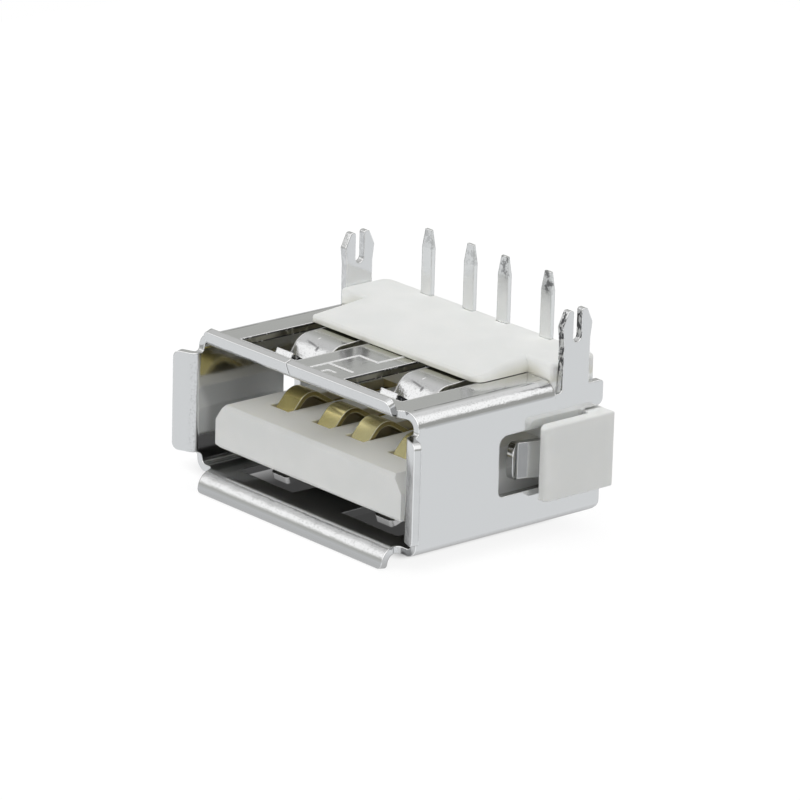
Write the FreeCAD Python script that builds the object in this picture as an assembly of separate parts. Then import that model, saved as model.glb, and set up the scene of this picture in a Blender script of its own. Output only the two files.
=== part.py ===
"""USB-A socket: right-angle, through-hole, flared mouth. Millimetres.

The socket lies with its board side up and its mouth towards -Y. Every piece is drawn in a mouth
frame, where X = 0 is the middle, Y = 0 is the front edge of the shell's corners and Z = 0 is the
outer face of the wall opposite the board. At the end all pieces move to the bottom centre of the
whole socket.
"""
import math
import os

import FreeCAD, Part

Vector = FreeCAD.Vector
along_x = Vector(1, 0, 0)
along_y = Vector(0, 1, 0)
along_z = Vector(0, 0, 1)

# Shell sheet and box
sheet = 0.30
opening_width = 12.50
opening_height = 5.06
shell_depth = 9.32
board_bend = 0.65
floor_bend = 0.50
rear_corner = 0.42

# Mouth lips: straight lead, bend radius of the cavity face, flare angle, flat length, tip corner
board_lip = (0.15, 0.40, 70.0, 0.45, 0.28)
side_lip = (0.15, 0.40, 70.0, 0.72, 0.28)
floor_lip = (0.09, 0.70, 80.0, 0.25, 0.20)
# Concave sweeps where the lips' ends run out into the corners of the box
wide_lip_sweep = 0.28
wide_lip_root_gap = 0.10
side_lip_board_sweep = 0.15
side_lip_floor_sweep = 0.30

# Two windows of the board wall and of the floor, each with a spring finger
wall_window_gap = 2.86
wall_window_width = 3.34
wall_window_front = 0.65
wall_window_margin = 1.25
wall_window_front_corner = 0.06
wall_window_rear_corner = 0.12
wall_finger_width = 2.15
wall_finger_root = 0.15
wall_finger_droop = 0.10
wall_finger_slope_run = 0.55
wall_finger_tip_run = 1.26
wall_finger_tip_gap = 0.70
wall_finger_tip_width = 1.05
wall_finger_tip_corner = 0.18
wall_finger_neck = 0.05
wall_finger_neck_corner = 0.12
wall_finger_root_bend = 1.00
wall_finger_bend = 0.65
wall_finger_valley = 0.25
# How far a finger dips below its wall, and how far its tip rises again
board_finger_dip = 0.94
board_finger_tip_rise = 0.82
floor_finger_dip = 0.50
floor_finger_tip_rise = 0.38

# One window of each side wall, with its spring finger
side_window_margin = 1.10
side_window_length = 3.12
side_window_height = 2.44
side_window_board_corner = 0.40
side_window_floor_corner = 0.25
side_window_rear_corner = 0.125
side_finger_width = 1.45
side_finger_drop = 0.10
side_finger_tip_gap = 0.75
side_finger_tip_run = 0.46
side_finger_tip_rise = 0.32
side_finger_tip_corner = 0.52
side_finger_slope_run = 1.30
side_finger_dip = 0.42
side_finger_bend = 0.90
side_finger_valley = 0.35

# Interlocking seam on the strip between the board wall's windows
seam_gap = 0.05
seam_front_x = -0.46
seam_rear_x = 0.65
key_front = 1.45
key_rear = 3.00
key_slit_end = 0.95
hook_x = 0.20
hook_front = 0.40
hook_rear = 0.88
hook_length = 0.40

# Forked board legs, measured from the board's face and from the pin row
leg_row_setback = 1.22
leg_width = 1.33
leg_length = 2.11
barb_reach = 0.085
barb_drop = 0.60
barb_taper = 0.65
barb_round = 0.15
prong_tip_width = 0.24
prong_tip_round = 0.108
leg_slot_width = 0.44
leg_slot_depth = 1.28
relief_width = 0.355
relief_depth = 0.46
shoulder_drop = 0.31
shoulder_height = 1.00
shoulder_corner = 0.15
shoulder_inner_corner = 0.075
shoulder_under_corner = 0.30

# Rear notch of the side walls, where the arms come out
arm_notch_depth = 1.02
arm_notch_bottom = 1.15
arm_notch_corner = 0.20

# Insulator
tongue_side_gap = 0.70
tongue_floor_gap = 0.84
tongue_thickness = 1.84
tongue_setback = 0.08
tongue_bevel_width = 0.48
tongue_bevel_height = 0.68
tongue_edge = 0.14
block_depth = 1.92
block_clearance = 0.04
block_edge = 0.10
web_depth = 0.50
plate_rise = 0.63
plate_clearance = 0.02
plate_wall_gap = 0.05
plate_corner = 0.45
plate_front_corner = 0.12
plate_edge = 0.15
ramp_length = 2.60
ramp_width = 9.80
ramp_nose = 0.27
ramp_nose_bevel = 0.10
ramp_front_edge = 0.06
ramp_rear_edge = 0.42
ramp_left_corner = 0.15
ramp_right_corner = 0.45
arm_gap = 0.28
arm_thickness = 0.45
arm_length = 3.46
arm_root = 0.50
arm_clearance = 0.09
arm_front_edge = 0.25
arm_top_corner = 0.25
arm_bottom_corner = 0.10
arm_long_edge = 0.08
arm_inner_edge = 0.06
arm_inner_corner = 0.08

# Contacts, measured from the tongue's front and bottom
contact_pitch_inner = 2.00
contact_pitch_outer = 2.50
contact_width = 1.00
contact_thickness = 0.20
contact_seat = 1.26
contact_setback = 0.97
contact_foot_run = 0.59
contact_rise_run = 1.05
contact_arch_height = 1.16
contact_fall_run = 1.86
rise_bend = 0.30
peak_bend = 0.65
fall_bend = 0.80
tail_bend = 0.25
contact_slot_clearance = 0.05
contact_pocket_gap = 0.10
contact_bridge_depth = 0.53
contact_bridge = 0.26
pin_setback = 0.23
pin_width = 0.58
pin_length = 2.67
pin_taper = 0.75
pin_tip_width = 0.34
pin_tip_thickness = 0.11
pin_shoulder = 0.80
groove_clearance = 0.04

# Joined volumes run this far into each other, and cuts this far past what they cut
join = 0.10
past = 1.00
# Widest share of a wall that one rounded corner takes
full_round = 0.49
tolerance = 1e-4

# Worked out from the sizes above
inner_x = opening_width / 2
outer_x = inner_x + sheet
floor_face = sheet
ceiling_face = sheet + opening_height
shell_height = ceiling_face + sheet
shell_middle = shell_height / 2
board_seat = shell_height + plate_rise
pin_row = shell_depth - pin_setback
leg_centre = pin_row - leg_row_setback
leg_front = leg_centre - leg_width / 2
board_wall_depth = leg_front - relief_width
plate_front = board_wall_depth + plate_wall_gap
wall_window_rear = board_wall_depth - wall_window_margin
floor_depth = shell_depth - rear_corner
arm_notch_front = shell_depth - arm_notch_depth
side_window_rear = arm_notch_front - side_window_margin
side_window_front = side_window_rear - side_window_length
shoulder_top = shell_height - shoulder_drop
arm_notch_top = shoulder_top - shoulder_height
block_x = inner_x - block_clearance
block_front = shell_depth - block_depth
ramp_front = plate_front - ramp_length
tongue_bottom = floor_face + tongue_floor_gap
tongue_top = tongue_bottom + tongue_thickness
contact_floor = tongue_bottom + contact_seat
contact_front = tongue_setback + contact_setback
pin_neck = contact_floor + pin_shoulder
pin_tip = board_seat + pin_length
contact_places = {
    "power_contact": -contact_pitch_inner / 2 - contact_pitch_outer,
    "data_minus_contact": -contact_pitch_inner / 2,
    "data_plus_contact": contact_pitch_inner / 2,
    "ground_contact": contact_pitch_inner / 2 + contact_pitch_outer,
}


def box(x0, x1, y0, y1, z0, z1):
    return Part.makeBox(x1 - x0, y1 - y0, z1 - z0, Vector(x0, y0, z0))


def on_yz(u, v):
    return Vector(0, u, v)


def on_xy(u, v):
    return Vector(u, v, 0)


def on_zy(u, v):
    return Vector(0, v, u)


def on_xz(u, v):
    return Vector(u, 0, v)


def both_sides(shape):
    return [shape, shape.mirror(Vector(0, 0, 0), along_x)]


def rounded_face(corners, place):
    """Flat face through (u, v, radius) corners, each rounded by a tangent arc."""
    points = [Vector(u, v, 0) for u, v, radius in corners]
    ends = []
    shapes = []
    for i, (u, v, radius) in enumerate(corners):
        before = (points[i - 1] - points[i]).normalize()
        after = (points[(i + 1) % len(points)] - points[i]).normalize()
        half = before.getAngle(after) / 2
        reach = radius / math.tan(half)
        start = points[i] + before * reach
        finish = points[i] + after * reach
        if radius:
            inward = (before + after).normalize()
            middle = points[i] + inward * (radius / math.sin(half) - radius)
            shapes.append(Part.Arc(*[place(p.x, p.y) for p in (start, middle, finish)]).toShape())
        ends.append((start, finish))
    for i, (start, finish) in enumerate(ends):
        following = ends[(i + 1) % len(ends)][0]
        if (following - finish).Length > tolerance:
            line = Part.LineSegment(place(finish.x, finish.y), place(following.x, following.y))
            shapes.append(line.toShape())
    return Part.Face(Part.Wire(Part.__sortEdges__(shapes)))


def strip_face(points, radii, thickness, place):
    """Section of a bent strip: a centre line through points, with a bend radius at each turn."""
    spots = [Vector(u, v, 0) for u, v in points]
    normals = []
    for a, b in zip(spots, spots[1:]):
        along = (b - a).normalize()
        normals.append(Vector(-along.y, along.x, 0))
    sides = []
    for side in (thickness / 2, -thickness / 2):
        chain = []
        last = spots[0] + normals[0] * side
        for i, radius in enumerate(radii):
            turn_point = spots[i + 1]
            back = (spots[i] - turn_point).normalize()
            ahead = (spots[i + 2] - turn_point).normalize()
            half = back.getAngle(ahead) / 2
            reach = radius / math.tan(half)
            inward = (back + ahead).normalize()
            centre = turn_point + inward * (radius / math.sin(half))
            start = turn_point + back * reach + normals[i] * side
            finish = turn_point + ahead * reach + normals[i + 1] * side
            middle = centre - inward * (start - centre).Length
            chain.append(Part.LineSegment(place(last.x, last.y), place(start.x, start.y)))
            chain.append(Part.Arc(*[place(p.x, p.y) for p in (start, middle, finish)]))
            last = finish
        end = spots[-1] + normals[-1] * side
        chain.append(Part.LineSegment(place(last.x, last.y), place(end.x, end.y)))
        sides.append([curve.toShape() for curve in chain])
    caps = []
    for end in (0, -1):
        caps.append(Part.LineSegment(sides[0][end].Vertexes[end].Point,
                                     sides[1][end].Vertexes[end].Point).toShape())
    return Part.Face(Part.Wire(Part.__sortEdges__(sides[0] + sides[1] + caps)))


def extruded(face, along, low, high):
    """Solid of a face swept along one axis from low to high."""
    solid = face.extrude(along * (high - low))
    solid.translate(along * low)
    return solid


def lip_end(lip):
    """How far a lip reaches forward and outward at the end of its cavity face."""
    lead, radius, angle, flat, corner = lip
    turn = math.radians(angle)
    forward = lead + radius * math.sin(turn) + flat * math.cos(turn)
    outward = radius * (1 - math.cos(turn)) + flat * math.sin(turn)
    return forward, outward


def lip_trim(root, inward, sweep, plan, across, low, high):
    """Cut beside one end of a lip, with a concave sweep out to the lip's root."""
    edge = root + inward * sweep
    far = edge - inward * past
    outline = [(edge, 0, sweep), (far, 0, 0), (far, -2 * past, 0), (edge, -2 * past, 0)]
    return extruded(rounded_face(outline, plan), across, low, high)


def lip_strip(lip, cavity_face, outward_sign, place, along, low, high):
    """A strip that runs forward from Y = 0 and bends outward."""
    lead, radius, angle, flat, corner = lip
    turn = math.radians(angle)
    centre_radius = radius - sheet / 2
    reach = centre_radius * math.tan(turn / 2)
    level = cavity_face + outward_sign * sheet / 2
    knee = lead + reach
    tip_forward = knee + (reach + flat) * math.cos(turn)
    tip_outward = level + outward_sign * (reach + flat) * math.sin(turn)
    points = [(0, level), (-knee, level), (-tip_forward, tip_outward)]
    if along.z:
        points = [(v, u) for u, v in points]
    strip = extruded(strip_face(points, [centre_radius], sheet, place), along, low, high)
    return strip, place(*points[-1])


def round_tip(strip, tip, along, radius):
    """Round the two corners of a strip's end, whose centre line passes through tip."""
    corners = []
    for edge in strip.Edges:
        spot = edge.CenterOfMass
        off_axis = spot - along * spot.dot(along)
        if abs(edge.Length - sheet) < tolerance and (off_axis - tip).Length < tolerance:
            corners.append(edge)
    return strip.makeFillet(radius, corners)


def wide_lip(lip, cavity_face, outward_sign):
    """Lip of the board wall or of the floor."""
    root = outer_x - board_bend - wide_lip_root_gap
    strip, tip = lip_strip(lip, cavity_face, outward_sign, on_yz, along_x, -root, root)
    strip = strip.cut(both_sides(lip_trim(root, -1, wide_lip_sweep, on_xy, along_z,
                                          -shell_height, 2 * shell_height)))
    return round_tip(strip, tip, along_x, lip[4])


def side_wall_lip():
    """Lip of one side wall."""
    low = floor_bend
    high = shell_height - board_bend
    strip, tip = lip_strip(side_lip, inner_x, 1, on_xy, along_z, low, high)
    strip = strip.cut([
        lip_trim(low, 1, side_lip_floor_sweep, on_zy, along_x, 0, 2 * outer_x),
        lip_trim(high, -1, side_lip_board_sweep, on_zy, along_x, 0, 2 * outer_x),
    ])
    return round_tip(strip, tip, along_z, side_lip[4])


def shell_profile():
    """Cross-section of the folded box, open inside."""
    outer = rounded_face([(-outer_x, 0, floor_bend), (outer_x, 0, floor_bend),
                          (outer_x, shell_height, board_bend),
                          (-outer_x, shell_height, board_bend)], on_xz)
    inner = rounded_face([(-inner_x, floor_face, floor_bend - sheet),
                          (inner_x, floor_face, floor_bend - sheet),
                          (inner_x, ceiling_face, board_bend - sheet),
                          (-inner_x, ceiling_face, board_bend - sheet)], on_xz)
    return outer.cut(inner)


def side_plate():
    """Flat rear stretch of one side wall, with its leg, shoulder and notches."""
    front = board_wall_depth
    leg_rear = leg_centre + leg_width / 2
    leg_tip = board_seat + leg_length
    relief_bottom = shell_height - relief_depth
    half_slot = leg_slot_width / 2
    half_top = half_slot + prong_tip_width
    half_barb = leg_width / 2 + barb_reach
    slot_bottom = leg_tip - leg_slot_depth
    barb_height = leg_tip - barb_drop
    barb_bottom = barb_height - barb_taper
    tip_round = min(prong_tip_round, prong_tip_width * full_round)
    slot_round = leg_slot_width * full_round
    outline = [
        (front, floor_bend, 0),
        (shell_depth, floor_bend, 0),
        (shell_depth, shoulder_top, shoulder_corner),
        (leg_rear, shoulder_top, shoulder_inner_corner),
        (leg_rear, barb_bottom, 0),
        (leg_centre + half_barb, barb_height, barb_round),
        (leg_centre + half_top, leg_tip, tip_round),
        (leg_centre + half_slot, leg_tip, tip_round),
        (leg_centre + half_slot, slot_bottom, slot_round),
        (leg_centre - half_slot, slot_bottom, slot_round),
        (leg_centre - half_slot, leg_tip, tip_round),
        (leg_centre - half_top, leg_tip, tip_round),
        (leg_centre - half_barb, barb_height, barb_round),
        (leg_front, barb_bottom, 0),
        (leg_front, relief_bottom, relief_width * full_round),
        (front, relief_bottom, 0),
    ]
    plate = extruded(rounded_face(outline, on_yz), along_x, inner_x, outer_x)
    notch = [
        (arm_notch_front, arm_notch_bottom, arm_notch_corner),
        (shell_depth + past, arm_notch_bottom, 0),
        (shell_depth + past, arm_notch_top, 0),
        (arm_notch_front, arm_notch_top, arm_notch_corner),
    ]
    plate = plate.cut(extruded(rounded_face(notch, on_yz), along_x, inner_x - past, outer_x + past))
    under = [edge for edge in plate.Edges
             if abs(edge.CenterOfMass.y - shell_depth) < tolerance
             and abs(edge.CenterOfMass.z - arm_notch_top) < tolerance]
    return plate.makeFillet(shoulder_under_corner, under)


def wall_finger(dip, tip_rise):
    """One spring finger of the board wall: it droops, dips steeply and ends in a raised tip."""
    level = shell_height - sheet / 2
    tip = wall_window_front + wall_finger_tip_gap
    valley = tip + wall_finger_tip_run
    bend = valley + wall_finger_slope_run
    points = [(wall_window_rear, level), (wall_window_rear - wall_finger_root, level),
              (bend, level - wall_finger_droop), (valley, level - dip),
              (tip, level - dip + tip_rise)]
    face = strip_face(points, [wall_finger_root_bend, wall_finger_bend, wall_finger_valley],
                      sheet, on_yz)
    half = wall_finger_width / 2
    half_tip = wall_finger_tip_width / 2
    neck = valley - wall_finger_neck
    beside_tip = [(half_tip, tip - past, 0), (half + past, tip - past, 0),
                  (half + past, neck, 0), (half_tip, neck, wall_finger_neck_corner)]
    finger = extruded(face, along_x, -half, half)
    finger = finger.cut(both_sides(extruded(rounded_face(beside_tip, on_xy), along_z, 0,
                                            shell_height)))
    finger = round_tip(finger, on_yz(*points[-1]), along_x, wall_finger_tip_corner)
    finger.translate(along_x * (wall_window_gap + wall_window_width) * 0.5)
    return finger


def side_finger():
    """One spring finger of a side wall, bent inwards, with its round tip curled back out."""
    level = outer_x - sheet / 2
    tip = side_window_front + side_finger_tip_gap
    valley = tip + side_finger_tip_run
    bend = valley + side_finger_slope_run
    points = [(level, side_window_rear), (level, bend),
              (level - side_finger_dip, valley),
              (level - side_finger_dip + 2 * side_finger_tip_rise, valley - 2 * side_finger_tip_run)]
    face = strip_face(points, [side_finger_bend, side_finger_valley], sheet, on_xy)
    low = shell_middle - side_finger_drop - side_finger_width / 2
    high = low + side_finger_width
    outline = [(tip, low, side_finger_tip_corner), (side_window_rear, low, 0),
               (side_window_rear, high, 0), (tip, high, side_finger_tip_corner)]
    blade = extruded(face, along_z, low, high)
    return blade.common(extruded(rounded_face(outline, on_yz), along_x, 0, 2 * outer_x))


def wall_window():
    """Cut for one pair of windows: the board wall's and the floor's below it."""
    left = wall_window_gap / 2
    right = left + wall_window_width
    opening = [
        (left, wall_window_front, wall_window_front_corner),
        (right, wall_window_front, wall_window_front_corner),
        (right, wall_window_rear, wall_window_rear_corner),
        (left, wall_window_rear, wall_window_rear_corner),
    ]
    return extruded(rounded_face(opening, on_xy), along_z, -past, shell_height + past)


def side_window():
    """Cut for one side wall's window."""
    bottom = shell_middle - side_window_height / 2
    top = shell_middle + side_window_height / 2
    opening = [
        (side_window_front, bottom, side_window_floor_corner),
        (side_window_rear, bottom, side_window_rear_corner),
        (side_window_rear, top, side_window_rear_corner),
        (side_window_front, top, side_window_board_corner),
    ]
    return extruded(rounded_face(opening, on_yz), along_x, inner_x - past, outer_x + past)


def rear_corner_cut():
    """Cut that rounds the lower rear corner of one side wall."""
    low = inner_x - sheet
    high = outer_x + past
    centre = shell_depth - rear_corner
    corner = box(low, high, centre, shell_depth + past, -past, rear_corner)
    return corner.cut(Part.makeCylinder(rear_corner, high - low, Vector(low, centre, rear_corner),
                                        along_x))


def seam_cuts():
    """Slits of the seam: from the lip back to a rectangular key, round it, and on to the rear."""
    half = seam_gap / 2
    forward, outward = lip_end(board_lip)
    low = ceiling_face - sheet
    high = shell_height + outward + sheet
    runs = [
        (seam_front_x, seam_front_x, -forward - sheet, key_rear),
        (seam_front_x, seam_rear_x, key_rear, key_rear),
        (seam_rear_x, seam_rear_x, key_rear, board_wall_depth + sheet),
        (seam_front_x, key_slit_end, key_front, key_front),
        (hook_x, hook_x, hook_front, hook_rear),
        (hook_x, hook_x + hook_length, hook_rear, hook_rear),
    ]
    return [box(x0 - half, x1 + half, y0 - half, y1 + half, low, high) for x0, x1, y0, y1 in runs]


def make_shell():
    tube = shell_profile().extrude(along_y * shell_depth)
    # the board wall and its bends end early, and flat side plates carry on behind them
    tube = tube.cut(box(-outer_x - past, outer_x + past, board_wall_depth, shell_depth + past,
                        floor_bend, shell_height + past))
    tube = tube.cut(box(-inner_x, inner_x, floor_depth, shell_depth + past, -past,
                        floor_bend + past))
    body = tube.fuse(both_sides(side_plate()))
    body = body.cut(both_sides(side_window()) + both_sides(wall_window())
                    + both_sides(rear_corner_cut()))

    fingers = both_sides(wall_finger(board_finger_dip, board_finger_tip_rise))
    fingers += both_sides(side_finger())
    for finger in both_sides(wall_finger(floor_finger_dip, floor_finger_tip_rise)):
        fingers.append(finger.mirror(Vector(0, 0, shell_middle), along_z))
    lips = [wide_lip(board_lip, ceiling_face, 1), wide_lip(floor_lip, floor_face, -1)]
    lips += both_sides(side_wall_lip())
    return body.fuse(fingers + lips).cut(seam_cuts()).removeSplitter()


def make_tongue():
    """Moulded tongue with bevelled sides and softened front edges."""
    half = inner_x - tongue_side_gap
    section = [
        (-half + tongue_edge, tongue_bottom, 0),
        (half - tongue_edge, tongue_bottom, 0),
        (half, tongue_bottom + tongue_edge, 0),
        (half, tongue_top - tongue_bevel_height, 0),
        (half - tongue_bevel_width, tongue_top, 0),
        (-half + tongue_bevel_width, tongue_top, 0),
        (-half, tongue_top - tongue_bevel_height, 0),
        (-half, tongue_bottom + tongue_edge, 0),
    ]
    tongue = extruded(rounded_face(section, on_xz), along_y, tongue_setback, block_front + join)
    front = [edge for edge in tongue.Edges
             if edge.BoundBox.YMax < tongue_setback + tolerance and edge.BoundBox.XLength > half]
    return tongue.makeChamfer(tongue_edge, front)


def make_block():
    """Rear block, and the wide board plate above it."""
    bottom = floor_face + block_clearance
    step = ceiling_face - web_depth
    section = [
        (block_front, bottom, block_edge),
        (shell_depth, bottom, block_edge),
        (shell_depth, board_seat, 0),
        (plate_front, board_seat, 0),
        (plate_front, step, 0),
        (block_front, step, 0),
    ]
    block = extruded(rounded_face(section, on_yz), along_x, -block_x, block_x)
    for y, radius in ((shell_depth, plate_corner), (plate_front, plate_front_corner)):
        upright = [edge for edge in block.Edges
                   if edge.BoundBox.ZLength > sheet and abs(edge.CenterOfMass.y - y) < tolerance]
        block = block.makeFillet(radius, upright)
    top = [edge for edge in block.Edges if edge.BoundBox.ZMin > board_seat - tolerance]
    return block.makeFillet(plate_edge, top)


def ramp_section(y, top, edge):
    """Outline across the ramp at one depth, with its two top edges rounded."""
    half = ramp_width / 2
    seat = shell_height + plate_clearance
    outline = [(-half, seat, 0), (half, seat, 0), (half, top, edge), (-half, top, edge)]
    wire = rounded_face(outline, on_xz).OuterWire
    wire.translate(along_y * y)
    return wire


def make_ramp():
    """Front of the board plate: a soft wedge that thins towards the mouth."""
    half = ramp_width / 2
    nose = shell_height + plate_clearance + ramp_nose
    rear = plate_front + plate_edge + join
    wedge = Part.makeLoft([
        ramp_section(ramp_front, nose - ramp_nose_bevel, ramp_front_edge),
        ramp_section(ramp_front + ramp_nose_bevel, nose, ramp_front_edge),
        ramp_section(plate_front, board_seat, ramp_rear_edge),
        ramp_section(rear, board_seat, ramp_rear_edge),
    ], True, True)
    outline = [
        (-half, ramp_front, ramp_left_corner),
        (half, ramp_front, ramp_right_corner),
        (half, rear, 0),
        (-half, rear, 0),
    ]
    return wedge.common(extruded(rounded_face(outline, on_xy), along_z, 0, board_seat + past))


def make_arm():
    """One side arm: it leaves the block through the wall's rear notch and runs forward outside."""
    inner = outer_x + arm_gap
    outer = inner + arm_thickness
    front = shell_depth - arm_length
    bottom = arm_notch_bottom + arm_clearance
    top = arm_notch_top - arm_clearance
    plan = [
        (block_x - arm_root, arm_notch_front + arm_clearance, 0),
        (inner, arm_notch_front + arm_clearance, arm_inner_corner),
        (inner, front, arm_inner_edge),
        (outer, front, arm_front_edge),
        (outer, shell_depth, arm_inner_edge),
        (block_x - arm_root, shell_depth, 0),
    ]
    side = [
        (front, bottom, arm_bottom_corner),
        (shell_depth, bottom, 0),
        (shell_depth, top, 0),
        (front, top, arm_top_corner),
    ]
    arm = extruded(rounded_face(plan, on_xy), along_z, bottom, top)
    arm = arm.common(extruded(rounded_face(side, on_yz), along_x, 0, outer + past))
    long_edges = [edge for edge in arm.Edges
                  if edge.BoundBox.XMin > outer - tolerance and edge.BoundBox.ZLength < tolerance
                  and edge.Length > arm_thickness]
    return arm.makeFillet(arm_long_edge, long_edges)


def contact_space(x):
    """Slot, front pocket, channel and rear groove that hold one contact."""
    half = contact_width / 2 + contact_slot_clearance
    half_pin = pin_width / 2 + groove_clearance
    rear = shell_depth + past
    slot_front = contact_front + contact_bridge_depth
    strip_top = contact_floor + contact_thickness + groove_clearance
    groove_front = pin_row - contact_thickness / 2 - groove_clearance
    slot = box(x - half, x + half, slot_front, block_front, contact_floor, tongue_top + past)
    pocket = box(x - half, x + half, contact_front - contact_pocket_gap, slot_front + join,
                 contact_floor, tongue_top - contact_bridge)
    channel = box(x - half, x + half, block_front - join, rear, contact_floor, strip_top)
    foot = box(x - half, x + half, pin_row - tail_bend, rear, contact_floor,
               pin_neck + groove_clearance)
    groove = box(x - half_pin, x + half_pin, groove_front, rear, contact_floor, board_seat + past)
    return slot.fuse([pocket, channel, foot, groove])


def make_insulator():
    body = make_block().fuse([make_tongue(), make_ramp()] + both_sides(make_arm()))
    spaces = [contact_space(x) for x in contact_places.values()]
    return body.cut(spaces).removeSplitter()


def pin_section(z, width, thickness):
    """Rectangle across the pin at one height."""
    half = width / 2
    front = pin_row - thickness / 2
    rear = pin_row + thickness / 2
    corners = [(-half, front), (half, front), (half, rear), (-half, rear), (-half, front)]
    return Part.makePolygon([Vector(x, y, z) for x, y in corners])


def make_contact(x):
    """Bent strip: flat front end, arched spring, run through the block, and board pin."""
    level = contact_floor + contact_thickness / 2
    taper_start = pin_tip - pin_taper
    rise = contact_front + contact_foot_run
    peak = rise + contact_rise_run
    points = [
        (contact_front, level),
        (rise, level),
        (peak, level + contact_arch_height),
        (peak + contact_fall_run, level),
        (pin_row, level),
        (pin_row, taper_start),
    ]
    face = strip_face(points, [rise_bend, peak_bend, fall_bend, tail_bend], contact_thickness, on_yz)
    half = contact_width / 2
    strip = extruded(face, along_x, -half, half)
    beside_pin = box(pin_width / 2, half + past, block_front, pin_row + past, pin_neck, pin_tip + past)
    strip = strip.cut(both_sides(beside_pin))
    tip = Part.makeLoft([pin_section(taper_start, pin_width, contact_thickness),
                         pin_section(pin_tip, pin_tip_width, pin_tip_thickness)], True)
    contact = strip.fuse(tip).removeSplitter()
    contact.translate(along_x * x)
    return contact


def to_bottom_centre():
    """Move from the mouth frame to the bottom centre of the whole socket."""
    forward, outward = lip_end(floor_lip)
    lowest = floor_face - outward - sheet * math.cos(math.radians(floor_lip[2]))
    return Vector(0, (forward - shell_depth) / 2, -lowest)


pieces = {"shell": make_shell(), "insulator": make_insulator()}
for name, place in contact_places.items():
    pieces[name] = make_contact(place)

os.makedirs("parts", exist_ok=True)
shift = to_bottom_centre()
for name, piece in pieces.items():
    piece.translate(shift)
    piece.exportStep("parts/" + name + ".step")
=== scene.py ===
import math

import bpy
from mathutils import Matrix, Vector

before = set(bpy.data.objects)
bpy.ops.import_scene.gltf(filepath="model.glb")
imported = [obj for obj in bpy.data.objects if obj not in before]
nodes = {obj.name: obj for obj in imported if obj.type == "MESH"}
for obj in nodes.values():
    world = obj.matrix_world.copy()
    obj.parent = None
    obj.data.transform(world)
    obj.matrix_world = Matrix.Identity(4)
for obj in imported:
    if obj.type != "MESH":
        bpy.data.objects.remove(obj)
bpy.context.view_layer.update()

MM = 0.001
WHITE = (1.0, 1.0, 1.0, 1.0)
# Numbers of a Mix node's sockets, which share their names: first and second input, output
MIX_SOCKETS = {"VECTOR": (4, 5, 1), "RGBA": (6, 7, 2)}
scene = bpy.context.scene
scene.view_settings.view_transform = "Standard"

# In all groups below, a pair of numbers is a fade: where it starts and where it is complete

# Camera of the photograph: lengths in mm, angles in degrees
CAMERA_PLACE = (146.30, -127.49, 68.06)
CAMERA_ELEVATION = 18.180
CAMERA_AZIMUTH = 48.820
CAMERA_ROLL = 1.628
CAMERA_LENS = 237.94
SENSOR_WIDTH = 36.0
CLIP_START = 10.0

# Studio as the metal mirrors it: radiance of its dim walls, its lit upper part and its ground
WALL_BACK = 0.50
WALL_RIGHT = 0.415
LIT_LEFT = 0.69
LIT_BACK = 0.86
LIT_FRONT = 1.19
LIT_RIGHT = 1.22
GROUND = 0.84
GROUND_RIGHT = 0.37
GROUND_LEFT = 0.61
WALL_TINT = (0.99, 1.0, 0.965, 1.0)
LIT_TINT = WHITE
GROUND_TINT = (0.975, 0.995, 1.01, 1.0)
# Borders of the studio's parts, in the x, y or z of a mirror direction of length 1
RIGHT_HALF_X = (0.0, 0.15)
FRONT_HALF_Y = (-0.45, -0.2)
RIGHT_WALL_X = (0.3, 0.65)
LEFT_UPPER_X = (-0.6, -0.35)
RIGHT_GROUND_X = (0.82, 0.93)
RIGHT_GROUND_Y = (0.04, 0.09)
LEFT_GROUND_X = (-0.6, -0.3)
GRAZING_DEPTH = (0.10, 0.26)
HORIZON_Z = (-0.06, 0.14)
# Height in z at which the walls end, how that changes in front and at the right, and its fade
WALL_TOP = 0.33
WALL_TOP_FALL_IN_FRONT = 0.18
WALL_TOP_RISE_AT_RIGHT = 0.08
WALL_FADE = 0.39
WALL_FADE_LOSS_IN_FRONT = 0.16
WALL_FADE_AT_RIGHT = 0.11
# Share of that light after a second mirror, and gain of what the metal throws on the plastic
SECOND_MIRROR = 0.56
THROWN_LIGHT = 3.2
THROWN_GROUND_LOSS = 0.5
THROWN_HORIZON_Z = (-0.1, 0.2)
ONE_BOUNCE = (0.4, 0.6)
TWO_BOUNCES = (1.4, 1.6)
# Studio as the matt surfaces receive it: at the horizon, overhead, and less at the right
SOFT_LOW = 0.515
SOFT_HIGH = 1.27
SOFT_LOSS_AT_RIGHT = 0.30

# White paper under the part, its half width in mm: how light it is round the shell and below it,
# seen directly, and the share of matt paper that takes the part's own shadow
FLOOR_HALF_WIDTH = 70.0
FLOOR_WHITE = 1.09
SHADE_SEEN = 0.05
PAPER = (0.76, 0.76, 0.76, 1.0)
PAPER_SHARE = 0.20
# How light the paper is in the metal, and what it loses below the shell or in a second mirror
PAPER_MIRRORED = 0.52
SHADE_LOSS = 0.85
SECOND_MIRROR_LOSS = 0.8
# Edges of the paper's painted shadow below the shell, and of the part that the metal mirrors, in mm
SHADE_LEFT_X = (-9.5, -4.5)
SHADE_RIGHT_X = (4.6, 5.2)
SHADE_FRONT_Y = (-4.0, -2.6)
SHADE_REAR_Y = (3.4, 4.8)
MIRRORED_PAPER_X = (5.6, 7.2)
MIRRORED_PAPER_Y = (4.0, 7.8)

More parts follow.
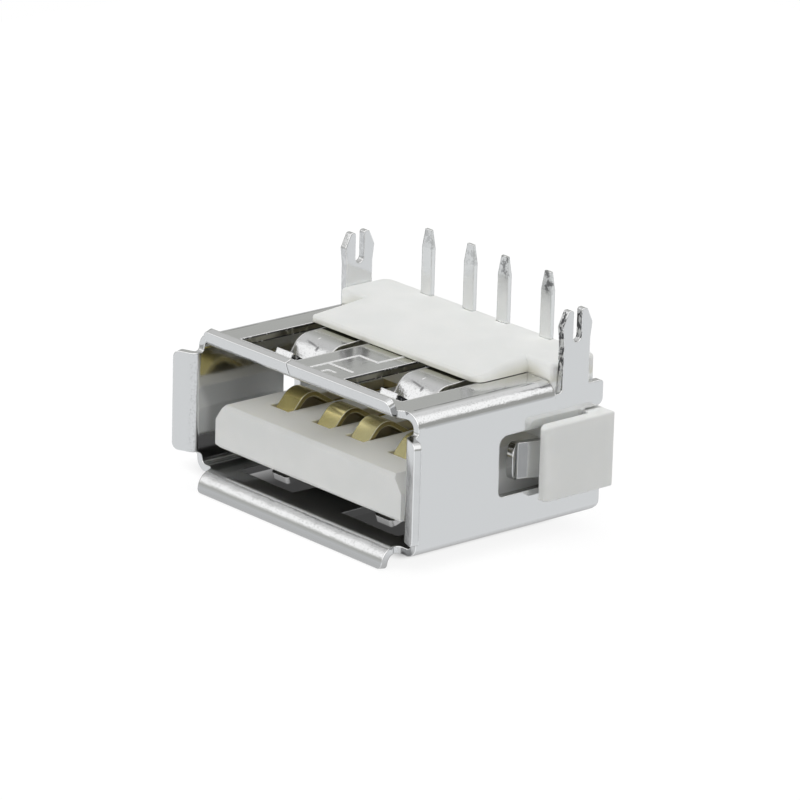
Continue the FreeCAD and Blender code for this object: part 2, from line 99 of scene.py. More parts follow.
# Noise patterns: scale in 1/mm, detail, roughness
SHEET_WAVES = (0.35, 1.0, 0.5)
BEND_DENTS = (1.1, 1.0, 0.5)
BEND_PITS = (15.0, 2.0, 0.6)
ROLLED_STREAKS = (1.0, 3.0, 0.6)
STREAK_STRETCH = (5.0, 0.7, 5.0)
TORN_CHIPS = (2.2, 3.0, 0.7)
CHIP_STRETCH = (3.0, 3.0, 1.6)
PLASTIC_CLOUDS = (0.6, 2.0, 0.5)
PLASTIC_GRAIN = (18.0, 3.0, 0.6)
CONTACT_GRAIN = (9.0, 3.0, 0.5)
COINING_SPOTS = (3.5, 3.0, 0.7)
# Depths of the patterns in the surface, in mm, and the share that the plastic shows of its own
WAVE_DEPTH = 0.014
DENT_DEPTH = 0.045
PIT_DEPTH = 0.007
STREAK_DEPTH = 0.0022
CHIP_DEPTH = 0.03
PLASTIC_GRAIN_DEPTH = 0.006
PLASTIC_GRAIN_SHARE = 0.6
CONTACT_GRAIN_DEPTH = 0.001
# Radii in mm that edges seem to have, and rays that find them
FINE_EDGE = 0.07
ROLLED_EDGE = 0.14
PLASTIC_EDGE = 0.06
EDGE_SAMPLES = 8
PLASTIC_EDGE_SAMPLES = 6

# Nickel plate: colours of its kinds of surface, of its painted shade and dark reflection lines, and
# of its painted highlights
NICKEL = (0.74, 0.743, 0.745, 1.0)
NICKEL_PAINTED_SHADE_BY_PLASTIC = (0.34, 0.34, 0.28, 1.0)
NICKEL_PIT = (0.30, 0.30, 0.30, 1.0)
NICKEL_PAINTED_BEND_REFLECTION = (0.16, 0.16, 0.17, 1.0)
NICKEL_PAINTED_HIGHLIGHT = (0.97, 0.97, 0.97, 1.0)
STEEL_TORN = (0.10, 0.10, 0.105, 1.0)
STEEL_CLEAN_CUT = (0.33, 0.32, 0.26, 1.0)
# Shares of those colours, the last one on the far leg's torn face
SHADE_BY_PLASTIC_SHARE = 0.9
PIT_SHARE = 0.30
UPPER_LINE_SHARE = 0.6
LOWER_LINE_SHARE = 0.22
FAR_LEG_SHARE = 0.15
# Painted highlight that the windows' cut edges lack, and metal that the painted highlight on the
# rolled edges lacks
CUT_HIGHLIGHT_LOSS = 0.6
ROLLED_HIGHLIGHT_METAL_LOSS = 0.8
# Nickel plate: roughness, and what streaks, torn faces and painted highlights add to it
NICKEL_ROUGHNESS = 0.07
STREAK_ROUGHNESS = 0.07
TORN_ROUGHNESS = 0.2
HIGHLIGHT_ROUGHNESS = 0.25
# Nickel plate: limits of normals, edge turns and noise values
FLAT_FACE = (0.80, 0.995)
LEVEL_FACE = (0.2, 0.4)
LEG_CUT_FACE = (0.75, 0.9)
EDGE_TURN = (0.015, 0.12)
ROLLED_EDGE_TURN = (0.002, 0.03)
PIT_LEVEL = (0.50, 0.70)
CHIP_LEVEL = (0.46, 0.56)
CHIP_LOSS_AT_WINDOW = 0.09
LINE_STREAK_LEVEL = (0.38, 0.58)
# Shell, in mm: its side lips, its legs, its pressed board side and the strip between the windows
SIDE_LIP_X = (6.56, 6.62)
LEG_Z = (6.3, 6.6)
LEG_Y = (1.0, 1.5)
MIDDLE_X = (-0.1, 0.1)
PRESSED_Z = (4.4, 4.5)
PRESSED_Y = (-3.9, -3.8)
PRESSED_END_X = (6.0, 6.1)
UPPER_FACE_Z = (5.3, 5.4)
STRIP_SIDE_X = (1.2, 1.3)
CLEAN_CUT_START_Z = (5.97, 6.0)
CLEAN_CUT_END_Z = (6.13, 6.21)
# Painted shade beside the plastic: where it starts in y and ends in x
SHADE_BY_PLASTIC_Y = (-0.9, 0.0)
SHADE_BY_PLASTIC_END_X = (3.5, 5.5)
# Painted dark reflection lines along the board side's bends, in mm: places, half widths and ends
BEND_X = 5.90
BEND_Z = 5.71
UPPER_LINE_HALF_WIDTH = (0.02, 0.06)
LOWER_LINE_HALF_WIDTH = (0.01, 0.05)
UPPER_LINE_Z = (6.1, 6.2)
LOWER_LINE_X = (6.4, 6.5)
LINE_START_Y = (-4.0, -3.9)
LINE_END_Y = (2.4, 2.6)
# Seam slits on the board side, in mm: lines, ends, and the painted highlights on both sides of them
SEAM_FRONT_X = -0.46
SEAM_REAR_X = 0.65
SEAM_FRONT_LENGTH = 0.55
SEAM_REAR_LENGTH = 1.3
KEY_FRONT_Y = -2.80
KEY_REAR_Y = -1.25
KEY_SLIT_END_X = 0.95
RIM_HALF_WIDTH = (0.045, 0.085)
RIM_PAST_END = (0.04, 0.09)
STRIP_TOP_Z = (5.95, 6.05)
# Painted shade in the press crease and dimple of the board side's fingers, and a painted highlight
# behind them, in mm, with x from the finger's middle line
FINGER_PLACE = 3.1
MIDDLE_PLANE = (-0.01, 0.01)
CREASE_Y = -1.25
CREASE_SLOPE = 0.15
CREASE_HALF_WIDTH = (0.0, 0.06)
CREASE_START_X = (-0.7, -0.3)
CREASE_END_X = (0.0, 0.35)
CREASE_SHADE = 0.65
DIMPLE_X = 0.2
DIMPLE_Y = -1.31
DIMPLE_RADIUS_SQUARED = (0.0, 0.010)
DIMPLE_SHADE = 0.8
TICK_X = -0.18
TICK_Y = -0.88
TICK_HALF_WIDTH = (0.0, 0.045)
TICK_HALF_LENGTH = (0.05, 0.12)

# White plastic: colours, its painted shade and painted light, and shares of those that lie over the
# white
PLASTIC_DEEP = (0.775, 0.785, 0.77, 1.0)
PLASTIC_LIGHT = (0.805, 0.81, 0.795, 1.0)
PLASTIC_CLOUD_LEVEL = (0.35, 0.7)
PLASTIC_PAINTED_FOOT_SHADE = (0.60, 0.59, 0.50, 1.0)
FOOT_SHADE_SHARE = 0.5
PLASTIC_PAINTED_CORNER_SHADE = (0.50, 0.48, 0.38, 1.0)
CORNER_SHADE_SHARE = 0.5
PLASTIC_PAINTED_LIGHT_ON_TONGUE = (0.92, 0.92, 0.875, 1.0)
PLASTIC_PAINTED_SLOT_SHADE = (0.42, 0.36, 0.20, 1.0)
PLASTIC_PAINTED_SHADE_IN_METAL = (0.05, 0.049, 0.038, 1.0)
FACING_DOWN_SHARE = 0.9
MOUTH_SHARE = 0.3
PLASTIC_ROUGHNESS = 0.42
GRAIN_ROUGHNESS = 0.12
GLOW_SHARE = 0.25
GLOW_TINT = (1.0, 0.95, 0.85)
GLOW_DEPTH = 0.35
# Limits of the normal on the tongue's top and on faces that look at the floor
TONGUE_TOP_FACE = (0.7, 0.9)
DOWNWARD_FACE = (0.5, 0.9)
# Contacts' distances from the middle plane, and their slots in the tongue, in mm
INNER_CONTACT_X = 1.0
OUTER_CONTACT_X = 3.5
SLOT_HALF_WIDTH = (0.52, 0.58)
SLOT_FLOOR_Z = (2.88, 2.93)
SLOT_TOP_Z = (3.50, 3.54)
SLOT_FRONT_Y = (-3.35, -3.3)
TONGUE_TOP_START_Z = (3.3, 3.45)
TONGUE_TOP_END_Z = (3.6, 3.7)
# Where shade is painted: the ramp's foot and its corner above the shell, and the space inside the
# mouth, in mm
SHELL_TOP_Z = (6.1, 6.2)
RAMP_FOOT_Z = (6.22, 6.62)
RAMP_CORNER_Z = (6.3, 6.85)
RAMP_CORNER_START_X = (4.4, 4.85)
RAMP_CORNER_END_X = (5.2, 6.0)
RAMP_CORNER_Y = (0.5, 2.0)
MOUTH_Y = (-3.6, -3.2)
MOUTH_TOP_Z = (5.5, 5.8)
MOUTH_SIDE_X = (6.2, 6.3)

# Contacts: colours of the spring, its painted shade, highlight and sheen, and of the pin
GOLD_DEEP = (0.78, 0.66, 0.25, 1.0)
GOLD_LIGHT = (0.85, 0.73, 0.31, 1.0)
GOLD_GRAIN_LEVEL = (0.2, 0.8)
GOLD_PAINTED_SHEEN = (1.0, 0.92, 0.52, 1.0)
GOLD_PAINTED_CUT_SHADE = (0.48, 0.40, 0.16, 1.0)
GOLD_PAINTED_HIGHLIGHT = (1.0, 0.94, 0.70, 1.0)
TIN = (0.82, 0.825, 0.82, 1.0)
TIN_COINED = (0.12, 0.12, 0.12, 1.0)
# Contacts: shares of those colours, loss of metal where the sheen and highlights are painted, and
# roughness
SHEEN_SHARE = 0.7
COINED_SHARE_AT_LEFT = 0.25
COINED_GAIN_AT_RIGHT = 0.55
HIGHLIGHT_METAL_LOSS = 0.7
SHEEN_METAL_LOSS = 0.15
CONTACT_ROUGHNESS = 0.16
CONTACT_GRAIN_ROUGHNESS = 0.10
# Contacts: limits of the normal, the edge turn and the noise
CUT_FACE = (0.7, 0.9)
CONTACT_EDGE_TURN = (0.01, 0.10)
COINING_LEVEL = (0.5, 0.6)
# Contacts, in mm: where the tin starts, where the gold has a painted sheen, and the pins' coined
# tips
TIN_Z = (4.2, 4.5)
SHEEN_X = (-3.2, 1.5)
SHEEN_END_Y = (-0.8, 0.0)
COINED_Z = (8.55, 8.9)
COINED_RIGHT_X = (0.0, 1.5)


class Value:
    """One output of a node tree that takes part in plain arithmetic."""

    def __init__(self, tree, socket):
        self.tree = tree
        self.socket = socket

    def combined(self, operation, first, second):
        return self.tree.make("ShaderNodeMath", {"operation": operation}, {0: first, 1: second})

    def __add__(self, other):
        return self.combined("ADD", self, other)

    __radd__ = __add__

    def __sub__(self, other):
        return self.combined("SUBTRACT", self, other)

    def __rsub__(self, other):
        return self.combined("SUBTRACT", other, self)

    def __mul__(self, other):
        return self.combined("MULTIPLY", self, other)

    __rmul__ = __mul__

    def __pow__(self, other):
        return self.combined("POWER", self, other)

    def __abs__(self):
        return self.combined("ABSOLUTE", self, 0.0)

    def at_least(self, other):
        return self.combined("MAXIMUM", self, other)

    def rising(self, fade):
        """0 before the fade, 1 after it, smooth between."""
        return self.tree.make("ShaderNodeMapRange", {"interpolation_type": "SMOOTHSTEP"},
                              {"Value": self, "From Min": fade[0], "From Max": fade[1]})

    def falling(self, fade):
        """1 before the fade, 0 after it, smooth between."""
        return 1 - self.rising(fade)


class Tree:
    """Node tree of a material or of the world."""

    def __init__(self, owner):
        owner.use_nodes = True
        self.nodes = owner.node_tree.nodes
        self.links = owner.node_tree.links
        self.nodes.clear()

    def node(self, kind, settings=None, values=None):
        made = self.nodes.new(kind)
        for name, setting in (settings or {}).items():
            setattr(made, name, setting)
        for name, value in (values or {}).items():
            if isinstance(value, Value):
                self.links.new(value.socket, made.inputs[name])
            else:
                made.inputs[name].default_value = value
        return made

    def make(self, kind, settings=None, values=None, output=0):
        return Value(self, self.node(kind, settings, values).outputs[output])

    def read(self, kind, *outputs):
        """Several outputs of one node that has no inputs."""
        made = self.node(kind)
        return [Value(self, made.outputs[output]) for output in outputs]

    def place_mm(self):
        """Object coordinates in mm."""
        coordinates = self.make("ShaderNodeTexCoord", output="Object")
        return self.make("ShaderNodeVectorMath", {"operation": "SCALE"},
                         {0: coordinates, "Scale": 1 / MM})

    def stretched(self, vector, scales):
        return self.make("ShaderNodeVectorMath", {"operation": "MULTIPLY"}, {0: vector, 1: scales})

    def parts(self, vector):
        split = self.node("ShaderNodeSeparateXYZ", None, {0: vector})
        return [Value(self, part) for part in split.outputs]

    def noise(self, place, pattern):
        scale, detail, roughness = pattern
        return self.make("ShaderNodeTexNoise", None, {"Vector": place, "Scale": scale,
                                                      "Detail": detail, "Roughness": roughness})

    def mix(self, share, first, second, kind="RGBA"):
        """Colour between two colours, or vector between two vectors."""
        first_input, second_input, output = MIX_SOCKETS[kind]
        return self.make("ShaderNodeMix", {"data_type": kind},
                         {0: share, first_input: first, second_input: second}, output)

    def dot(self, first, second):
        return self.make("ShaderNodeVectorMath", {"operation": "DOT_PRODUCT"},
                         {0: first, 1: second}, "Value")

    def rounded(self, radius, samples=EDGE_SAMPLES):
        """Normal that turns round every edge, by a radius in mm."""
        return self.make("ShaderNodeBevel", {"samples": samples}, {"Radius": radius * MM})

    def bump(self, height, depth, normal, strength=1.0):
        """Normal pressed in by a pattern, to a depth in mm."""
        return self.make("ShaderNodeBump", None, {"Height": height, "Distance": depth * MM,
                                                  "Strength": strength, "Normal": normal})

    def finish_surface(self, values):
        surface = self.make("ShaderNodeBsdfPrincipled", None, values)
        self.node("ShaderNodeOutputMaterial", None, {"Surface": surface})


def seam_rim_highlights(x, y, z):
    """Painted highlights along the rims of the seam's slits on the strip between the windows."""
    slits = (
        (x, SEAM_FRONT_X, y, KEY_FRONT_Y - SEAM_FRONT_LENGTH, KEY_REAR_Y),
        (y, KEY_REAR_Y, x, SEAM_FRONT_X, SEAM_REAR_X),
        (x, SEAM_REAR_X, y, KEY_REAR_Y, KEY_REAR_Y + SEAM_REAR_LENGTH),
        (y, KEY_FRONT_Y, x, SEAM_FRONT_X, KEY_SLIT_END_X),
    )
    near, far = RIM_PAST_END
    rims = []
    for across, line, along, start, end in slits:
        beside = abs(across - line).falling(RIM_HALF_WIDTH)
        after_start = along.rising((start - far, start - near))
        before_end = along.falling((end + near, end + far))
        rims.append(beside * after_start * before_end)
    marks = rims[0]
    for rim in rims[1:]:
        marks = marks.at_least(rim)
    return marks * z.rising(STRIP_TOP_Z)


def finger_crease_shade_and_highlight(x, y, z):
    """Painted shade in the crease and dimple of the board side's fingers, and a painted highlight
    as a tick behind.
    """
    off_middle = x - FINGER_PLACE * (2 * x.rising(MIDDLE_PLANE) - 1)
    upper = z.rising(UPPER_FACE_Z)
    crease = abs(y - CREASE_Y + CREASE_SLOPE * off_middle).falling(CREASE_HALF_WIDTH)
    crease = crease * off_middle.rising(CREASE_START_X) * off_middle.falling(CREASE_END_X)
    pit = ((off_middle - DIMPLE_X) ** 2 + (y - DIMPLE_Y) ** 2).falling(DIMPLE_RADIUS_SQUARED)
    dark = (CREASE_SHADE * crease).at_least(DIMPLE_SHADE * pit)
    tick = abs(off_middle - TICK_X).falling(TICK_HALF_WIDTH)
    tick = tick * abs(y - TICK_Y).falling(TICK_HALF_LENGTH)
    return dark * upper, tick * upper


def dark_bend_reflections(x, y, z, streaks):
    """Painted dark reflection lines along the tangents of the board side's bends, the upper one
    broken by streaks.
    """
    upper = abs(abs(x) - BEND_X).falling(UPPER_LINE_HALF_WIDTH) * z.rising(UPPER_LINE_Z)
    upper = upper * streaks.rising(LINE_STREAK_LEVEL)
    lower = abs(z - BEND_Z).falling(LOWER_LINE_HALF_WIDTH) * abs(x).rising(LOWER_LINE_X)
    lines = (UPPER_LINE_SHARE * upper).at_least(LOWER_LINE_SHARE * lower)
    return lines * y.rising(LINE_START_Y) * y.falling(LINE_END_Y)


class ShellZones:
    """Where the shell's sheet is bent, pressed, rolled over or torn, and where shade is painted
    beside the plastic.
    """

    def __init__(self, x, y, z, true_normal_parts):
        facing_x, facing_y, facing_z = [abs(part) for part in true_normal_parts]
        self.formed = facing_x.at_least(facing_y).at_least(facing_z).falling(FLAT_FACE)
        self.grained = self.formed * abs(x).falling(SIDE_LIP_X)
        upright = facing_z.falling(LEVEL_FACE)
        pressed = z.rising(PRESSED_Z) * y.rising(PRESSED_Y) * abs(x).falling(PRESSED_END_X)
        self.rolled_over = pressed * (1 - upright) * z.rising(UPPER_FACE_Z)
        # Painted shade and reflection of the plastic on the board side in front of the ramp
        shade_by_plastic = self.rolled_over * y.rising(SHADE_BY_PLASTIC_Y)
        self.shade_by_plastic = shade_by_plastic * abs(x).falling(SHADE_BY_PLASTIC_END_X)
        self.window_cut = upright * pressed * abs(x).rising(STRIP_SIDE_X)
        self.clean_cut = self.window_cut * z.rising(CLEAN_CUT_START_Z) * z.falling(CLEAN_CUT_END_Z)
        leg_cut = facing_y.rising(LEG_CUT_FACE) * z.rising(LEG_Z) * y.rising(LEG_Y)
        leg_cut = leg_cut * (FAR_LEG_SHARE + (1 - FAR_LEG_SHARE) * x.rising(MIDDLE_X))
        self.torn = leg_cut.at_least(self.window_cut)


def nickel_plate():
    """Bright nickel over stamped steel: pitted bends, torn cut faces, painted highlights, painted
    shade and dark reflection lines.
    """
    material = bpy.data.materials.new("bright_nickel")
    tree = Tree(material)
    place = tree.place_mm()
    x, y, z = tree.parts(place)
    normal, true_normal = tree.read("ShaderNodeNewGeometry", "Normal", "True Normal")
    zones = ShellZones(x, y, z, tree.parts(true_normal))

    pits = tree.noise(place, BEND_PITS)
    streaks = tree.noise(tree.stretched(place, STREAK_STRETCH), ROLLED_STREAKS)
    chips = tree.noise(tree.stretched(place, CHIP_STRETCH), TORN_CHIPS)
    chips = (chips - CHIP_LOSS_AT_WINDOW * zones.window_cut).rising(CHIP_LEVEL)
    # Painted shade in the fingers' creases and dimples, and a painted highlight on their ticks
    painted_crease_shade, painted_highlights = finger_crease_shade_and_highlight(x, y, z)
    # Painted highlights on the seam's rims join those on the fingers' ticks
    painted_highlights = painted_highlights.at_least(seam_rim_highlights(x, y, z))

    fine_edge = tree.rounded(FINE_EDGE)
    edge = tree.mix(zones.rolled_over, fine_edge, tree.rounded(ROLLED_EDGE), "VECTOR")
    # Painted highlight: the colour turns white and loses metal where the rounded edge's normal
    # turns away
    turned = 1 - tree.dot(edge, normal)
    painted_edge_highlight = turned.rising(EDGE_TURN) * (1 - CUT_HIGHLIGHT_LOSS * zones.window_cut)
    painted_edge_highlight = painted_edge_highlight + (turned.rising(ROLLED_EDGE_TURN) - painted_edge_highlight) * zones.rolled_over

    surface = tree.bump(tree.noise(place, SHEET_WAVES), WAVE_DEPTH, edge)
    surface = tree.bump(tree.noise(place, BEND_DENTS), DENT_DEPTH, surface, zones.formed)
    surface = tree.bump(pits, PIT_DEPTH, surface, zones.grained)
    surface = tree.bump(streaks, STREAK_DEPTH, surface)
    surface = tree.bump(chips * zones.torn, CHIP_DEPTH, surface)

    # Painted shade and olive reflection of the plastic on the nickel
    plate = tree.mix(SHADE_BY_PLASTIC_SHARE * zones.shade_by_plastic, NICKEL, NICKEL_PAINTED_SHADE_BY_PLASTIC)
    plate = tree.mix(PIT_SHARE * zones.grained * pits.rising(PIT_LEVEL), plate, NICKEL_PIT)
    # Painted reflection: dark lines along the board side's bends
    plate = tree.mix(dark_bend_reflections(x, y, z, streaks), plate, NICKEL_PAINTED_BEND_REFLECTION)
    bright = tree.mix(painted_edge_highlight.at_least(painted_highlights), plate, NICKEL_PAINTED_HIGHLIGHT)
    dark = tree.mix(zones.clean_cut, STEEL_TORN, STEEL_CLEAN_CUT)
    # Dark colour of the torn cut faces, and painted shade in the fingers' creases
    dark_share = (zones.torn * (1 - chips * (1 - zones.clean_cut))).at_least(painted_crease_shade)
    metal_loss = (ROLLED_HIGHLIGHT_METAL_LOSS * painted_edge_highlight * zones.rolled_over).at_least(painted_highlights)
    roughness = NICKEL_ROUGHNESS + STREAK_ROUGHNESS * streaks + TORN_ROUGHNESS * zones.torn
    tree.finish_surface({
        "Base Color": tree.mix(dark_share, bright, dark),
        "Metallic": 1 - metal_loss,
        "Roughness": roughness + HIGHLIGHT_ROUGHNESS * painted_highlights,
        "Normal": surface,
    })
    return material


def white_plastic():
    """White moulded nylon with a satin, finely eroded surface, and painted shade and painted light
    in places.
    """
    material = bpy.data.materials.new("white_nylon")
    tree = Tree(material)
    place = tree.place_mm()
    x, y, z = tree.parts(place)
    upward = tree.parts(tree.make("ShaderNodeNewGeometry", output="True Normal"))[2]
    mirrored = tree.make("ShaderNodeLightPath", output="Is Glossy Ray")
    grain = tree.noise(place, PLASTIC_GRAIN)
    edge = tree.rounded(PLASTIC_EDGE, PLASTIC_EDGE_SAMPLES)

    pair_middle = (OUTER_CONTACT_X + INNER_CONTACT_X) / 2
    half_spacing = (OUTER_CONTACT_X - INNER_CONTACT_X) / 2
    from_contact = abs(abs(abs(x) - pair_middle) - half_spacing)
    # Painted shade and gold reflection in the slots under the contacts
    shade_in_slot = from_contact.falling(SLOT_HALF_WIDTH) * z.rising(SLOT_FLOOR_Z) * z.falling(SLOT_TOP_Z)
    shade_in_slot = shade_in_slot * y.rising(SLOT_FRONT_Y)
    # Painted light: the tongue's top face is made lighter than the rest of the white
    light_on_tongue = upward.rising(TONGUE_TOP_FACE)
    light_on_tongue = light_on_tongue * z.rising(TONGUE_TOP_START_Z) * z.falling(TONGUE_TOP_END_Z)
    # Painted shade at the ramp's foot and in its corner by the shell
    shade_at_foot = z.falling(RAMP_FOOT_Z) * z.rising(SHELL_TOP_Z)
    shade_in_corner = z.falling(RAMP_CORNER_Z) * z.rising(SHELL_TOP_Z)
    shade_in_corner = shade_in_corner * abs(x).rising(RAMP_CORNER_START_X) * abs(x).falling(RAMP_CORNER_END_X)
    shade_in_corner = shade_in_corner * y.rising(RAMP_CORNER_Y)
    # Painted shade: the plastic's underside and mouth are darkened only where the metal mirrors
    # them
    in_mouth = y.rising(MOUTH_Y) * z.falling(MOUTH_TOP_Z) * abs(x).falling(MOUTH_SIDE_X)
    facing_down = (-1 * upward).rising(DOWNWARD_FACE)
    shade_in_reflection = (FACING_DOWN_SHARE * facing_down).at_least(MOUTH_SHARE * in_mouth) * mirrored

    clouds = tree.noise(place, PLASTIC_CLOUDS).rising(PLASTIC_CLOUD_LEVEL)
    white = tree.mix(clouds, PLASTIC_DEEP, PLASTIC_LIGHT)
    # Painted shade: olive darkening at the ramp's foot and corner
    white = tree.mix(FOOT_SHADE_SHARE * shade_at_foot, white, PLASTIC_PAINTED_FOOT_SHADE)
    white = tree.mix(CORNER_SHADE_SHARE * shade_in_corner, white, PLASTIC_PAINTED_CORNER_SHADE)
    white = tree.mix(light_on_tongue, white, PLASTIC_PAINTED_LIGHT_ON_TONGUE)
    white = tree.mix(shade_in_slot, white, PLASTIC_PAINTED_SLOT_SHADE)
    tree.finish_surface({
        "Base Color": tree.mix(shade_in_reflection, white, PLASTIC_PAINTED_SHADE_IN_METAL),
        "Roughness": PLASTIC_ROUGHNESS + GRAIN_ROUGHNESS * grain,
        "Normal": tree.bump(grain, PLASTIC_GRAIN_DEPTH, edge, PLASTIC_GRAIN_SHARE),
        "Subsurface Weight": GLOW_SHARE,
        "Subsurface Radius": GLOW_TINT,
        "Subsurface Scale": GLOW_DEPTH * MM,
    })
    return material


def contact_metal():
    """Gold-plated spring with painted shade on cut faces, painted highlights on edges and a painted
    sheen, and a tinned pin above it.
    """
    material = bpy.data.materials.new("plated_contact")
    tree = Tree(material)
    place = tree.place_mm()
    x, y, z = tree.parts(place)
    normal, true_normal = tree.read("ShaderNodeNewGeometry", "Normal", "True Normal")
    sideways = abs(tree.parts(true_normal)[0])
    grain = tree.noise(place, CONTACT_GRAIN)
    edge = tree.rounded(FINE_EDGE)

    tinned = z.rising(TIN_Z)
    # Painted sheen: the gold gets lighter towards the right and the front
    painted_sheen = x.rising(SHEEN_X) * y.falling(SHEEN_END_Y)
    # Painted highlight: pale gold, less metal, where the rounded edge's normal turns away
    painted_edge_highlight = (1 - tree.dot(edge, normal)).rising(CONTACT_EDGE_TURN) * (1 - tinned)
    coined = z.rising(COINED_Z) * tree.noise(place, COINING_SPOTS).rising(COINING_LEVEL)
    coined = coined * (COINED_SHARE_AT_LEFT + COINED_GAIN_AT_RIGHT * x.rising(COINED_RIGHT_X))

    gold = tree.mix(grain.rising(GOLD_GRAIN_LEVEL), GOLD_DEEP, GOLD_LIGHT)
    gold = tree.mix(SHEEN_SHARE * painted_sheen, gold, GOLD_PAINTED_SHEEN)
    # Painted shade on the cut faces that look sideways
    spring = tree.mix(sideways.rising(CUT_FACE), gold, GOLD_PAINTED_CUT_SHADE)
    spring = tree.mix(painted_edge_highlight, spring, GOLD_PAINTED_HIGHLIGHT)
    pin = tree.mix(coined, TIN, TIN_COINED)
    metal_loss = (HIGHLIGHT_METAL_LOSS * painted_edge_highlight).at_least(SHEEN_METAL_LOSS * painted_sheen)
    tree.finish_surface({
        "Base Color": tree.mix(tinned, spring, pin),
        "Metallic": 1 - metal_loss,
        "Roughness": CONTACT_ROUGHNESS + CONTACT_GRAIN_ROUGHNESS * grain,
        "Normal": tree.bump(grain, CONTACT_GRAIN_DEPTH, edge),
    })
    return material


def dress(node_name, material):
    """Give a node's own mesh its material."""
    slots = nodes[node_name].data.materials
    slots.clear()
    slots.append(material)


def make_camera():
    """Camera at the photograph's place and angle."""
    up_angle = math.radians(CAMERA_ELEVATION)
    turn = math.radians(CAMERA_AZIMUTH)
    roll = math.radians(CAMERA_ROLL)
    back = Vector((math.sin(turn) * math.cos(up_angle), -math.cos(turn) * math.cos(up_angle),
                   math.sin(up_angle)))
    level_right = Vector((math.cos(turn), math.sin(turn), 0.0))
    level_up = back.cross(level_right)
    right = level_right * math.cos(roll) + level_up * math.sin(roll)
    up = level_up * math.cos(roll) - level_right * math.sin(roll)
    place = Matrix((right, up, back)).transposed().to_4x4()
    place.translation = Vector(CAMERA_PLACE) * MM
    data = bpy.data.cameras.new("camera")
    data.lens = CAMERA_LENS
    data.sensor_width = SENSOR_WIDTH
    data.clip_start = CLIP_START * MM
    camera = bpy.data.objects.new("camera", data)
    camera.matrix_world = place
    scene.collection.objects.link(camera)
    scene.camera = camera


def room_in_metal(tree, x, y, z):
    """Radiance and tint of the studio in each mirror direction."""
    right = x.rising(RIGHT_HALF_X)
    front = y.falling(FRONT_HALF_Y)
    wall = WALL_BACK + (WALL_RIGHT - WALL_BACK) * x.rising(RIGHT_WALL_X)
    upper = LIT_LEFT + (LIT_BACK - LIT_LEFT) * x.rising(LEFT_UPPER_X)
    upper = upper + (LIT_FRONT - upper) * front
    upper = upper + (LIT_RIGHT - upper) * right
    wall_top = WALL_TOP - WALL_TOP_FALL_IN_FRONT * front + WALL_TOP_RISE_AT_RIGHT * right
    fade = WALL_FADE - WALL_FADE_LOSS_IN_FRONT * front
    fade = fade + (WALL_FADE_AT_RIGHT - fade) * right
    lit = z.rising((wall_top, wall_top + fade))
    at_right = x.rising(RIGHT_GROUND_X)
    ground = GROUND - (GROUND - GROUND_RIGHT) * at_right * y.rising(RIGHT_GROUND_Y)
    grazing = (-1 * z).falling(GRAZING_DEPTH)
    ground = ground - (GROUND - GROUND_LEFT) * grazing * x.falling(LEFT_GROUND_X)
    below = z.falling(HORIZON_Z)
    level = wall + (upper - wall) * lit
    level = level + (ground - level) * below
    tint = tree.mix(below, tree.mix(lit, WALL_TINT, LIT_TINT), GROUND_TINT)
    return level, tint


def make_world():
    """White for the camera, a soft room for matt surfaces and a patterned one for the metal."""
    world = bpy.data.worlds.new("studio")
    scene.world = world
    tree = Tree(world)
    x, y, z = tree.parts(tree.make("ShaderNodeTexCoord", output="Generated"))
    seen, glossy, diffuse_bounces, glossy_bounces = tree.read(
        "ShaderNodeLightPath",
        "Is Camera Ray", "Is Glossy Ray", "Diffuse Depth", "Glossy Depth")
    thrown = diffuse_bounces.rising(ONE_BOUNCE)
    again = glossy_bounces.rising(TWO_BOUNCES) * (1 - thrown)
    level, tint = room_in_metal(tree, x, y, z)
    gain = (THROWN_LIGHT - 1) * z.rising(THROWN_HORIZON_Z)
    gain = gain - THROWN_GROUND_LOSS * z.falling(THROWN_HORIZON_Z)
    level = level * (1 + gain * thrown) * (1 - (1 - SECOND_MIRROR) * again)
    overhead = z.at_least(0.0)
    soft = SOFT_LOW + (SOFT_HIGH - SOFT_LOW) * overhead
    soft = soft - SOFT_LOSS_AT_RIGHT * x.at_least(0.0) * (1 - overhead)
    mirrored = tree.make("ShaderNodeBackground", None, {"Color": tint, "Strength": level})
    matt = tree.make("ShaderNodeBackground", None, {"Color": WHITE, "Strength": soft})
    white = tree.make("ShaderNodeBackground", None, {"Color": WHITE, "Strength": 1.0})
    room = tree.make("ShaderNodeMixShader", None, {0: glossy, 1: matt, 2: mirrored})
    both = tree.make("ShaderNodeMixShader", None, {0: seen, 1: room, 2: white})
    tree.node("ShaderNodeOutputWorld", None, {"Surface": both})


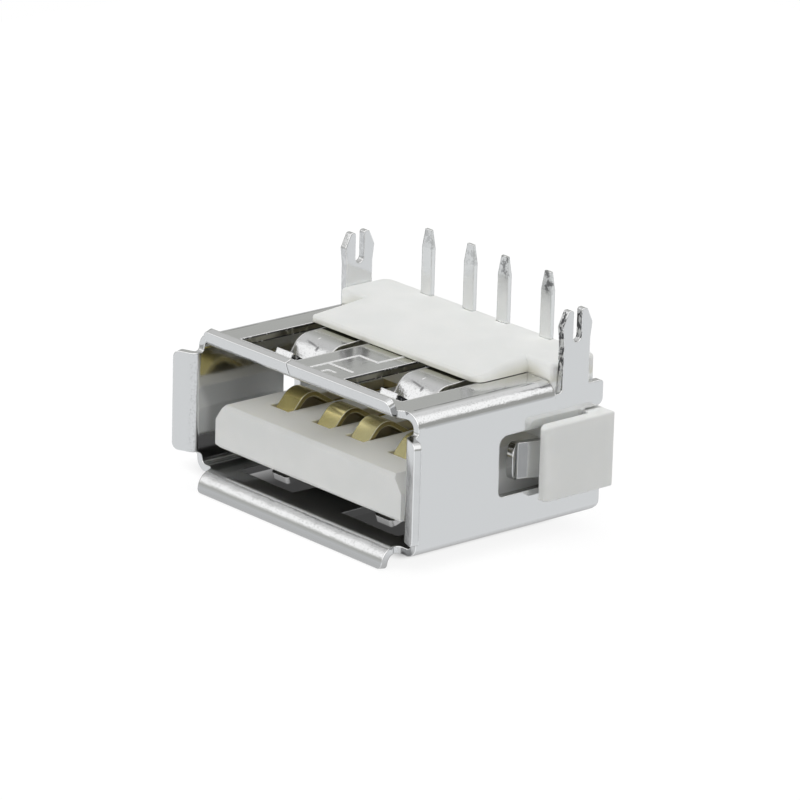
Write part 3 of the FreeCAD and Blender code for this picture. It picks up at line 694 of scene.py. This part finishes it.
def floor_paper():
    """White paper: lit by itself, with a painted shadow below the shell and a faint real shadow
    round it.
    """
    material = bpy.data.materials.new("floor_paper")
    tree = Tree(material)
    x, y = tree.parts(tree.place_mm())[:2]
    direct, passed, glossy, glossy_bounces = tree.read(
        "ShaderNodeLightPath",
        "Is Camera Ray", "Is Transmission Ray", "Is Glossy Ray", "Glossy Depth")
    seen = direct.at_least(passed)
    again = glossy_bounces.rising(TWO_BOUNCES)
    below = x.rising(SHADE_LEFT_X) * x.falling(SHADE_RIGHT_X)
    below = below * y.rising(SHADE_FRONT_Y) * y.falling(SHADE_REAR_Y)
    beside = abs(x).falling(MIRRORED_PAPER_X) * abs(y).falling(MIRRORED_PAPER_Y)
    loss = (SHADE_LOSS * below).at_least(SECOND_MIRROR_LOSS * again)
    light = (FLOOR_WHITE - (FLOOR_WHITE - SHADE_SEEN) * below) * seen
    light = light + PAPER_MIRRORED * glossy * (1 - loss)
    lit_by_itself = seen * (1 - PAPER_SHARE * (1 - below)) + glossy
    paper = tree.make("ShaderNodeBsdfDiffuse", None, {"Color": PAPER})
    white = tree.make("ShaderNodeEmission", None, {"Color": light, "Strength": 1.0})
    clear = tree.make("ShaderNodeBsdfTransparent", None, {"Color": WHITE})
    lying = tree.make("ShaderNodeMixShader", None, {0: lit_by_itself, 1: paper, 2: white})
    both = tree.make("ShaderNodeMixShader", None, {0: glossy * (1 - beside), 1: lying, 2: clear})
    tree.node("ShaderNodeOutputMaterial", None, {"Surface": both})
    return material


def make_floor():
    """Plain square of white paper under the lowest lip."""
    half = FLOOR_HALF_WIDTH * MM
    corners = [(-half, -half, 0.0), (half, -half, 0.0), (half, half, 0.0), (-half, half, 0.0)]
    data = bpy.data.meshes.new("floor")
    data.from_pydata(corners, [], [(0, 1, 2, 3)])
    data.materials.append(floor_paper())
    floor = bpy.data.objects.new("floor", data)
    scene.collection.objects.link(floor)


make_camera()
make_world()
make_floor()

dress("shell", nickel_plate())
dress("insulator", white_plastic())
plated = contact_metal()
for name in ("power_contact", "data_minus_contact", "data_plus_contact", "ground_contact"):
    dress(name, plated)
